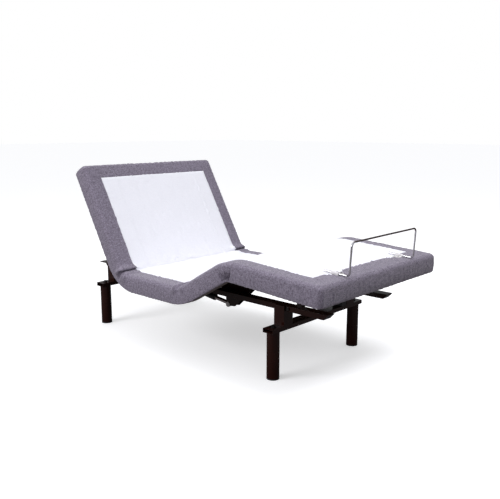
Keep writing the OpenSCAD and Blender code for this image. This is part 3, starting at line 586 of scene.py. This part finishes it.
folds = {  # each ridge: station from its hinge, width along the deck, height; a groove is negative
    "back": {"ridges": [(-0.036, 0.020, 0.015), (-0.004, 0.011, -0.010),
                        (0.024, 0.013, 0.008), (0.052, 0.013, 0.006)],
             "from": -0.030, "rise": 0.032, "until": 0.118, "fade": 0.045,
             "panelShare": 0.14, "slant": -0.10},
    "thigh": {"ridges": [(-0.030, 0.017, 0.009), (-0.002, 0.010, -0.003), (0.026, 0.015, 0.004)],
              "from": -0.024, "rise": 0.026, "until": 0.105, "fade": 0.035,
              "panelShare": 0.10, "slant": 0.12},
}
pleats = {"stations": [-0.030, -0.019, -0.0075, 0.004, 0.017, 0.029], "width": 0.0048, "depth": 0.0200,
          "high": 0.022, "fade": 0.040, "fan": 0.22}


def smoothStep(low, high, value):
    t = min(1.0, max(0.0, (value - low) / (high - low)))
    return t * t * (3 - 2 * t)


def bunching(x, s, h):
    # how far the cloth stands off the foam where the deck folds it up
    outward = abs(x) - cover["panelHalf"] + max(0.0, deckTop - cover["crown"] - h)
    wander = 0.0035 * math.sin(31 * x + 1.3) + 0.002 * math.sin(83 * x + math.copysign(0.7, x))
    total = 0.0
    for fold, (place0, turn, sign, radii) in zip((folds["back"], folds["thigh"]), bends):
        grow = smoothStep(fold["from"], fold["from"] + fold["rise"], outward)
        grow = fold["panelShare"] + (1 - fold["panelShare"]) * grow
        grow *= 1 - smoothStep(fold["until"], fold["until"] + fold["fade"], outward)
        for k, (offset, width, tall) in enumerate(fold["ridges"]):
            side = 1.0 + 0.22 * math.sin(2.1 * k + (0.8 if x > 0 else 2.6))
            centre = place0 + offset + fold["slant"] * offset / 0.03 * max(0.0, outward - 0.05) + wander
            off = (s - centre) / width
            total += tall * side * grow * math.exp(-off * off)
    place0 = bends[2][0]
    if abs(s - place0) < 0.09 and abs(x) > boardHalf + 0.02:
        for k, station in enumerate(pleats["stations"]):
            level = h - skirtLow
            long = pleats["fade"] * (0.75 + 0.5 * abs(math.sin(2.3 * k + (0.4 if x > 0 else 1.9))))
            deep = pleats["depth"] * (0.6 + 0.4 * abs(math.cos(1.7 * k + (0.3 if x > 0 else 1.1))))
            off = (s - place0 - station * (1 + pleats["fan"] * level / 0.03)) / pleats["width"]
            fade = 1 - smoothStep(pleats["high"], pleats["high"] + long, level)
            total -= deep * math.exp(-off * off) * fade
    calm = 0.0006 * math.sin(23 * s + 9 * x) * math.sin(41 * h + 17 * s + 5 * x)
    return total + calm


splitAlong = []


def flatCover():
    global splitAlong
    along, splitAlong = alongLines()
    across = acrossLines()
    verts, faces, kinds, uvs = [], [], [], []
    grid = {}
    for j, s in enumerate(along):
        for i, x in enumerate(across):
            grid[i, j] = len(verts)
            verts.append((x, s, topHeight(x, s)))
    head, foot = cover["panelHead"], wholeLong - cover["panelFoot"]
    for j in range(len(along) - 1):
        for i in range(len(across) - 1):
            midX = (across[i] + across[i + 1]) / 2
            midS = (along[j] + along[j + 1]) / 2
            inPanel = abs(midX) < cover["panelHalf"] and head < midS < foot or inPatch(midX, midS)
            faces.append((grid[i, j], grid[i + 1, j], grid[i + 1, j + 1], grid[i, j + 1]))
            kinds.append("panel" if inPanel else "cover")
            uvs.append([(verts[v][0], verts[v][1]) for v in faces[-1]])
    # walk round the top's border, with a fan of directions at each corner
    last, end = len(across) - 1, len(along) - 1
    border = []
    fan = 7

    def corner(vertex, fromAngle):
        for k in range(fan + 1):
            a = math.radians(fromAngle + 90 * k / fan)
            border.append((vertex, math.cos(a), math.sin(a), True))

    for i in range(1, last):
        border.append((grid[i, 0], 0, -1, False))
    corner(grid[last, 0], -90)
    for j in range(1, end):
        border.append((grid[last, j], 1, 0, False))
    corner(grid[last, end], 0)
    for i in range(last - 1, 0, -1):
        border.append((grid[i, end], 0, 1, False))
    corner(grid[0, end], 90)
    for j in range(end - 1, 0, -1):
        border.append((grid[0, j], -1, 0, False))
    corner(grid[0, 0], 180)
    profile = edgeProfile()
    loops = [[b[0] for b in border]]
    walked = [0.0]
    for k, (out, height, kind) in enumerate(profile):
        before = (0.0, deckTop - cover["crown"] * 0.6) if k == 0 else profile[k - 1][:2]
        walked.append(walked[-1] + math.hypot(out - before[0], height - before[1]))
        loop = []
        cornerInner = {}
        for vertex, dx, ds, fanned in border:
            x, s, _ = verts[vertex]
            if out < 0 and fanned:  # the corner is square inside
                if vertex not in cornerInner:
                    cornerInner[vertex] = len(verts)
                    verts.append((x + out * math.copysign(1, x), s + out * (1 if s > 1 else -1), height))
                loop.append(cornerInner[vertex])
            else:
                loop.append(len(verts))
                verts.append((x + out * dx, s + out * ds, height))
        loops.append(loop)
    n = len(border)
    for k in range(len(profile)):
        for m in range(n):
            o = (m + 1) % n
            quad = [loops[k][m], loops[k + 1][m], loops[k + 1][o], loops[k][o]]
            ring = []
            flat = []
            for v, level, b in zip(quad, (k, k + 1, k + 1, k), (m, m, o, o)):
                if ring and v == ring[-1] or ring and v == ring[0]:
                    continue
                ring.append(v)
                x, s, _ = verts[border[b][0]]
                flat.append((x + border[b][1] * walked[level], s + border[b][2] * walked[level]))
            if len(ring) > 2:
                faces.append(tuple(ring))
                kinds.append(profile[k][2])
                uvs.append(flat)
    return verts, faces, kinds, uvs


def bendCover(verts, faces, kinds):
    held = set(v for f, kind in zip(faces, kinds) if kind == "under" for v in f)
    flat = bpy.data.meshes.new("flat")
    flat.from_pydata(verts, [], faces)
    normals = [v.normal.copy() for v in flat.vertices]
    bpy.data.meshes.remove(flat)
    shaped = []
    for v, ((x, s, h), normal) in enumerate(zip(verts, normals)):
        if v not in held:
            stand = bunching(x, s, h)
            if abs(x) < halfWide - cover["edgeRound"] and h > 0:
                stand -= creaseDip(s, h)
            x, s, h = x + normal.x * stand, s + normal.y * stand, h + normal.z * stand
        y, z = bent(s, h)
        shaped.append((x, y, z))
    return shaped


sewing = {"frames": 14, "cap": 0.005, "tension": 22.0, "bending": 0.35, "mass": 0.25,
          "firm": 0.55, "loose": 0.20, "foldReach": 0.085, "ease": 0.03, "pressure": 4.0}


def pinShare(x, s, h, kind):
    # foam holds the cloth everywhere, but only loosely where a hinge bunches it
    if kind == "under":
        return 1.0
    share = 1.0
    for place0, turn, sign, radii in bends:
        near = max(0.0, 1 - abs(s - place0) / sewing["foldReach"])
        tight = (h - skirtLow) / (deckTop - skirtLow)
        share = min(share, 1 - near * (tight if sign > 0 else 1 - 0.6 * tight))
    return sewing["loose"] + (sewing["firm"] - sewing["loose"]) * share


def sewCover(flat, shaped, faces, kinds):
    # lets cloth that is a little too large settle on the bent deck
    kindOf = {}
    for f, kind in zip(faces, kinds):
        for v in f:
            if kind == "under" or v not in kindOf:
                kindOf[v] = kind
    mesh = bpy.data.meshes.new("sewing")
    mesh.from_pydata(shaped, [], faces)
    body = bpy.data.objects.new("sewing", mesh)
    bpy.context.collection.objects.link(body)
    pins = body.vertex_groups.new(name="pins")
    for v, (x, s, h) in enumerate(flat):
        pins.add([v], pinShare(x, s, h, kindOf.get(v, "cover")), "REPLACE")
    cloth = body.modifiers.new("cloth", "CLOTH")
    settings = cloth.settings
    settings.quality = 5
    settings.mass = sewing["mass"]
    settings.tension_stiffness = sewing["tension"]
    settings.compression_stiffness = sewing["tension"]
    settings.shear_stiffness = sewing["tension"] * 0.3
    settings.bending_stiffness = sewing["bending"]
    settings.vertex_group_mass = "pins"
    settings.pin_stiffness = 1.0
    settings.air_damping = 4.0
    settings.shrink_min = -sewing["ease"]
    settings.use_pressure = True
    settings.uniform_pressure_force = sewing["pressure"]
    settings.effector_weights.gravity = 0
    cloth.collision_settings.use_collision = False
    cloth.point_cache.frame_start = 1
    cloth.point_cache.frame_end = sewing["frames"]
    for f in range(1, sewing["frames"] + 1):
        bpy.context.scene.frame_set(f)
    shown = body.evaluated_get(bpy.context.evaluated_depsgraph_get())
    settled, moves = [], []
    for v, start in zip(shown.data.vertices, shaped):
        move = v.co - Vector(start)
        moves.append(move.length * 1000)
        if move.length > sewing["cap"]:
            move *= sewing["cap"] / move.length
        settled.append(tuple(Vector(start) + move))
    atCap = sum(m > sewing["cap"] * 1000 for m in moves)
    print("cloth moved, mm: mean", round(sum(moves) / len(moves), 3),
          "most", round(max(moves), 3), "capped", atCap)
    bpy.data.objects.remove(body)
    bpy.context.scene.frame_set(1)
    return settled


kindSlots = {"cover": 0, "panel": 1, "under": 2}


def coverPiece(name, verts, faces, kinds, uvs, normals):
    used = sorted(set(v for f in faces for v in f))
    index = {v: i for i, v in enumerate(used)}
    mesh = bpy.data.meshes.new(name)
    mesh.from_pydata([verts[v] for v in used], [], [[index[v] for v in f] for f in faces])
    for material in (materials["cover_fabric"], materials["panel_fabric"], dustCover):
        mesh.materials.append(material)
    layer = mesh.uv_layers.new(name="UVMap")
    for polygon, kind, flat in zip(mesh.polygons, kinds, uvs):
        polygon.material_index = kindSlots[kind]
        polygon.use_smooth = True
        for loop, at in zip(polygon.loop_indices, flat):
            layer.data[loop].uv = at
    mesh.normals_split_custom_set_from_vertices([normals[v] for v in used])
    piece = bpy.data.objects.new(name, mesh)
    bpy.context.collection.objects.link(piece)
    return piece


def cutCover(verts, flatVerts, faces, kinds, uvs):
    whole = bpy.data.meshes.new("coverWhole")
    whole.from_pydata(verts, [], faces)
    normals = [tuple(v.normal) for v in whole.vertices]
    names = ("coverBack", "coverMiddle", "coverLeg")
    shares = {name: ([], [], []) for name in names}
    for f, kind, flat in zip(faces, kinds, uvs):
        middle = sum(flatVerts[v][1] for v in f) / len(f)
        name = names[bisect.bisect(splitAlong, middle)]
        for store, value in zip(shares[name], (f, kind, flat)):
            store.append(value)
    return {name: coverPiece(name, verts, *shares[name], normals) for name in names}


flatVerts, coverFaces, coverKinds, coverUvs = flatCover()
coverVerts = bendCover(flatVerts, coverFaces, coverKinds)
coverVerts = sewCover(flatVerts, coverVerts, coverFaces, coverKinds)
print("cover settled on the decks")
pieces = cutCover(coverVerts, flatVerts, coverFaces, coverKinds, coverUvs)
print("cover made:", len(coverVerts), "points")


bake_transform(pieces["coverBack"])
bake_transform(pieces["coverMiddle"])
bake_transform(pieces["coverLeg"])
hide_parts("back_pad", "back_skirts", "back_head_roll")
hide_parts("seat_pad", "seat_skirts", "thigh_pad", "thigh_skirts")
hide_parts("leg_pad", "leg_skirts", "leg_foot_roll")

studio = {"floor": (0.82, 0.82, 0.83, 1), "bounce": (0.16, 0.15, 0.15, 1), "floorGlow": 0.45,
          "cameraAt": (-2.4702, -2.3604, 1.1395),
          "yaw": 0.826, "pitch": 0.187, "lens": 46.6, "low": 0.17, "high": 0.80,
          "lamps": [("overhead", (0.5, 0.6, 3.4), (3.2, 3.2), 14, (0.97, 0.98, 1.0)),
                    ("window", (-4.2, 1.2, 2.2), (2.4, 2.0), 122, (0.97, 0.97, 1.0)),
                    ("strip", (-2.4, -4.6, 1.7), (0.35, 1.8), 9, (0.94, 0.96, 1.0)),
                    ("front", (0.6, -2.2, 4.2), (2.4, 1.6), 84, (0.97, 0.97, 1.0))]}


def makeFloor():
    mesh = bpy.data.meshes.new("floor")
    mesh.from_pydata([(-40, -40, 0), (40, -40, 0), (40, 40, 0), (-40, 40, 0)], [], [(0, 1, 2, 3)])
    material, tree, shader = startMaterial("paleFloor", **{"Roughness": 0.8, "Specular IOR Level": 0.1})
    # bright to look at, dim as a bounce
    seen = tree.nodes.new("ShaderNodeLightPath").outputs["Is Camera Ray"]
    link(tree, mixColor(tree, seen, studio["bounce"], studio["floor"]), shader.inputs["Base Color"])
    link(tree, mixColor(tree, seen, (0, 0, 0, 1), (1, 1, 1, 1)), shader.inputs["Emission Color"])
    shader.inputs["Emission Strength"].default_value = studio["floorGlow"]
    mesh.materials.append(material)
    floor = bpy.data.objects.new("floor", mesh)
    bpy.context.collection.objects.link(floor)


def makeLamp(name, at, size, power, color):
    data = bpy.data.lights.new(name, "AREA")
    data.shape = "RECTANGLE"
    data.size, data.size_y = size
    data.energy = power
    data.color = color
    lamp = bpy.data.objects.new(name, data)
    lamp.location = at
    lamp.rotation_euler = (Vector((0, 0, 0.4)) - Vector(at)).to_track_quat("-Z", "Y").to_euler()
    lamp.visible_glossy = name != "front"  # it fills the back panel and would bleach the plated rod
    bpy.context.collection.objects.link(lamp)


def makeWorld():
    # a dim room with a bright ceiling, and a white backdrop where the camera looks past the object
    world = bpy.data.worlds.new("studio")
    world.use_nodes = True
    tree = world.node_tree
    room = tree.nodes["Background"]
    split = tree.nodes.new("ShaderNodeSeparateXYZ")
    link(tree, tree.nodes.new("ShaderNodeTexCoord").outputs["Generated"], split.inputs[0])
    glow = remap(tree, split.outputs["Z"], 0.12, 0.75, studio["low"], studio["high"])
    link(tree, glow, room.inputs["Strength"])
    room.inputs["Color"].default_value = (0.97, 0.98, 1.0, 1)
    backdrop = tree.nodes.new("ShaderNodeBackground")
    choice = tree.nodes.new("ShaderNodeMixShader")
    link(tree, tree.nodes.new("ShaderNodeLightPath").outputs["Is Camera Ray"], choice.inputs[0])
    link(tree, room.outputs[0], choice.inputs[1])
    link(tree, backdrop.outputs[0], choice.inputs[2])
    backdrop.inputs["Color"].default_value = (1, 1, 1, 1)
    link(tree, choice.outputs[0], tree.nodes["World Output"].inputs["Surface"])
    bpy.context.scene.world = world


makeFloor()
for lamp in studio["lamps"]:
    makeLamp(*lamp)
makeWorld()
bpy.context.scene.view_settings.view_transform = "Standard"
cameraData = bpy.data.cameras.new("camera")
cameraData.lens = studio["lens"]
cameraData.sensor_width = 36
camera = bpy.data.objects.new("camera", cameraData)
camera.location = studio["cameraAt"]
camera.rotation_euler = (math.pi / 2 - studio["pitch"], 0, -studio["yaw"])
bpy.context.collection.objects.link(camera)
bpy.context.scene.camera = camera
print("studio ready")
